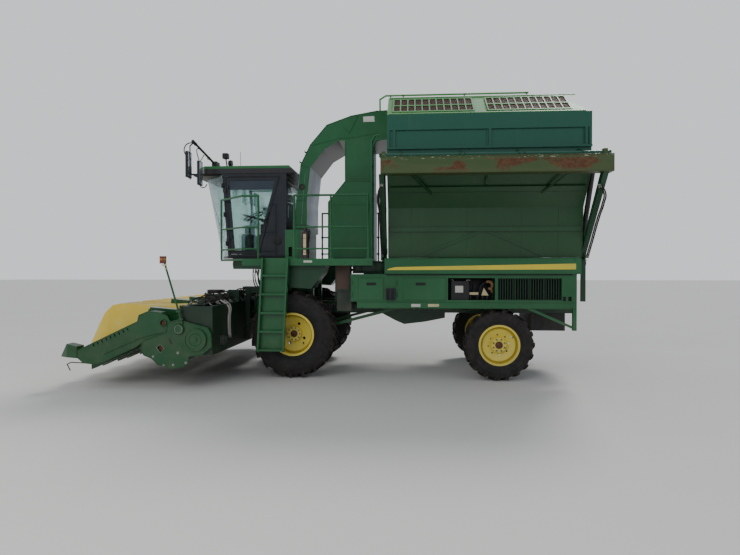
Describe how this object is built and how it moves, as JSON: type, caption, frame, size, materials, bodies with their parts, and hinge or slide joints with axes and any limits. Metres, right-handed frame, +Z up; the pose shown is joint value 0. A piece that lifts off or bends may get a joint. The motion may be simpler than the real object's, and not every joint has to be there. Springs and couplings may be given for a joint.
{
  "type": "self-propelled cotton stripper",
  "caption": "Self-propelled cotton stripper with a row header, glazed cab, arched air duct and a side-tipping basket with a screened lid.",
  "frame": {"origin": "on the ground, under the middle of the machine's overall box", "axes": "front of the machine towards -X, its left side towards -Y, +Z up"},
  "size_m": [8.184, 4.8, 4.7376],
  "materials": {
    "green_paint": "satin, sun faded",
    "chassis_paint": "dusty satin",
    "yellow_paint": "satin",
    "yellow_plastic": "moulded",
    "cab_black": "semi gloss",
    "black_plastic": "moulded",
    "cast_grey": "rough",
    "bare_steel": "worn",
    "worn_paint": "rusted paint",
    "extinguisher_paint": "gloss",
    "seat_cover": "woven",
    "screen_mesh": "woven wire",
    "tinted_glass": "clear",
    "tyre": "matte"
  },
  "bodies": {
    "chassis": {"main_frame": "chassis_paint", "lift_pivots": "chassis_paint", "front_axle": "chassis_paint", "rear_axle": "chassis_paint", "side_frames": "green_paint", "side_panels": "green_paint", "side_stripes": "yellow_paint", "radiator_grille": "chassis_paint", "engine_block": "cast_grey", "fuel_tank": "black_plastic", "battery": "black_plastic", "cab_shell": "cab_black", "cab_roof": "green_paint", "cab_glass": "tinted_glass", "seat": "seat_cover", "steering_column": "black_plastic", "deck": "green_paint", "handrails": "green_paint", "ladder": "green_paint", "air_duct": "green_paint", "lower_duct": "chassis_paint", "cleaner_housing": "green_paint", "front_fenders": "chassis_paint", "mirrors": "black_plastic", "lamps": "black_plastic", "fire_extinguisher": "extinguisher_paint", "equipment_box": "green_paint", "basket_posts": "chassis_paint", "basket_beam": "worn_paint", "cylinder_feet": "chassis_paint"},
    "service_door_front": {"service_door_front": "green_paint"},
    "service_door_rear": {"service_door_rear": "green_paint"},
    "cab_door": {"cab_door": "cab_black", "door_glass": "tinted_glass"},
    "rear_knuckle_left": {"rear_knuckle_left": "chassis_paint"},
    "rear_knuckle_right": {"rear_knuckle_right": "chassis_paint"},
    "tie_rod": {"tie_rod": "chassis_paint"},
    "front_wheel_left": {"front_tyre_left": "tyre", "front_rim_left": "yellow_paint"},
    "front_wheel_right": {"front_tyre_right": "tyre", "front_rim_right": "yellow_paint"},
    "rear_wheel_left": {"rear_tyre_left": "tyre", "rear_rim_left": "yellow_paint"},
    "rear_wheel_right": {"rear_tyre_right": "tyre", "rear_rim_right": "yellow_paint"},
    "basket": {"basket": "green_paint"},
    "basket_lid": {"basket_lid": "green_paint", "lid_screens": "screen_mesh"},
    "basket_barrels": {"basket_barrels": "cab_black"},
    "basket_rods": {"basket_rods": "bare_steel"},
    "header": {"header_frame": "chassis_paint", "row_units": "green_paint", "hoods": "yellow_plastic", "end_shields": "green_paint", "marker_poles": "green_paint"},
    "cross_auger": {"cross_auger": "bare_steel"},
    "header_barrels": {"header_barrels": "cab_black"},
    "header_rods": {"header_rods": "bare_steel"}
  },
  "joints": [
    {"name": "front_wheel_left_spin", "type": "hinge", "parent": "chassis", "child": "front_wheel_left", "pos_m": [-0.756, -1.065, 0.725], "axis": [0, 1, 0], "continuous": true},
    {"name": "front_wheel_right_spin", "type": "hinge", "parent": "chassis", "child": "front_wheel_right", "pos_m": [-0.756, 1.065, 0.725], "axis": [0, 1, 0], "continuous": true},
    {"name": "steer", "type": "hinge", "parent": "chassis", "child": "rear_knuckle_left", "pos_m": [2.604, -0.85, 0.575], "axis": [0, 0, 1], "range_deg": [-38, 38]},
    {"name": "steer_right", "type": "hinge", "parent": "chassis", "child": "rear_knuckle_right", "pos_m": [2.604, 0.85, 0.575], "axis": [0, 0, 1], "range_deg": [-38.5, 38.5]},
    {"name": "tie_rod_shift", "type": "slide", "parent": "chassis", "child": "tie_rod", "axis": [0, 1, 0], "range_m": [-0.165, 0.165]},
    {"name": "rear_wheel_left_spin", "type": "hinge", "parent": "rear_knuckle_left", "child": "rear_wheel_left", "pos_m": [2.604, -1.145, 0.575], "axis": [0, 1, 0], "continuous": true},
    {"name": "rear_wheel_right_spin", "type": "hinge", "parent": "rear_knuckle_right", "child": "rear_wheel_right", "pos_m": [2.604, 1.145, 0.575], "axis": [0, 1, 0], "continuous": true},
    {"name": "basket_tip", "type": "hinge", "parent": "chassis", "child": "basket", "pos_m": [2.414, -2, 3.49], "axis": [1, 0, 0], "range_deg": [0, 95]},
    {"name": "lid_open", "type": "hinge", "parent": "basket", "child": "basket_lid", "pos_m": [2.371, 1.6, 4.2], "axis": [-1, 0, 0], "range_deg": [0, 60]},
    {"name": "basket_barrel_swing", "type": "hinge", "parent": "chassis", "child": "basket_barrels", "pos_m": [0.748, -0.85, 2.1], "axis": [1, 0, 0], "range_deg": [0, 7.77]},
    {"name": "basket_rod_slide", "type": "slide", "parent": "basket_barrels", "child": "basket_rods", "axis": [0, -0.4407, 0.8976], "range_m": [0, 0.6153]},
    {"name": "header_lift", "type": "hinge", "parent": "chassis", "child": "header", "pos_m": [-1.106, 0, 1.5], "axis": [0, 1, 0], "range_deg": [-4, 15]},
    {"name": "cross_auger_spin", "type": "hinge", "parent": "header", "child": "cross_auger", "pos_m": [-1.96, 0, 0.763], "axis": [0, 1, 0], "continuous": true},
    {"name": "header_barrel_swing", "type": "hinge", "parent": "chassis", "child": "header_barrels", "pos_m": [-0.936, 0, 1.15], "axis": [0, 1, 0], "range_deg": [-3.7, 13.6]},
    {"name": "header_rod_slide", "type": "slide", "parent": "header_barrels", "child": "header_rods", "axis": [-0.9386, 0, -0.3451], "range_m": [-0.027, 0.1]},
    {"name": "cab_door_swing", "type": "hinge", "parent": "chassis", "child": "cab_door", "pos_m": [-1.937, -0.85, 2.065], "axis": [0.0722, 0, -0.9974], "range_deg": [0, 38]},
    {"name": "service_door_front_swing", "type": "hinge", "parent": "chassis", "child": "service_door_front", "pos_m": [0.222, -1.2623, 1.478], "axis": [0, 0, -1], "range_deg": [0, 110]},
    {"name": "service_door_rear_swing", "type": "hinge", "parent": "chassis", "child": "service_door_rear", "pos_m": [0.951, -1.2623, 1.478], "axis": [0, 0, -1], "range_deg": [0, 110]}
  ],
  "couplings": [
    {"joint": "steer_right", "follows": "steer", "ratio": 1},
    {"joint": "tie_rod_shift", "follows": "steer", "m_per_rad": 0.24},
    {"joint": "basket_barrel_swing", "follows": "basket_tip", "ratio": 0.0807},
    {"joint": "basket_rod_slide", "follows": "basket_tip", "m_per_rad": 0.3705},
    {"joint": "header_barrel_swing", "follows": "header_lift", "ratio": 0.9},
    {"joint": "header_rod_slide", "follows": "header_lift", "m_per_rad": 0.381}
  ]
}
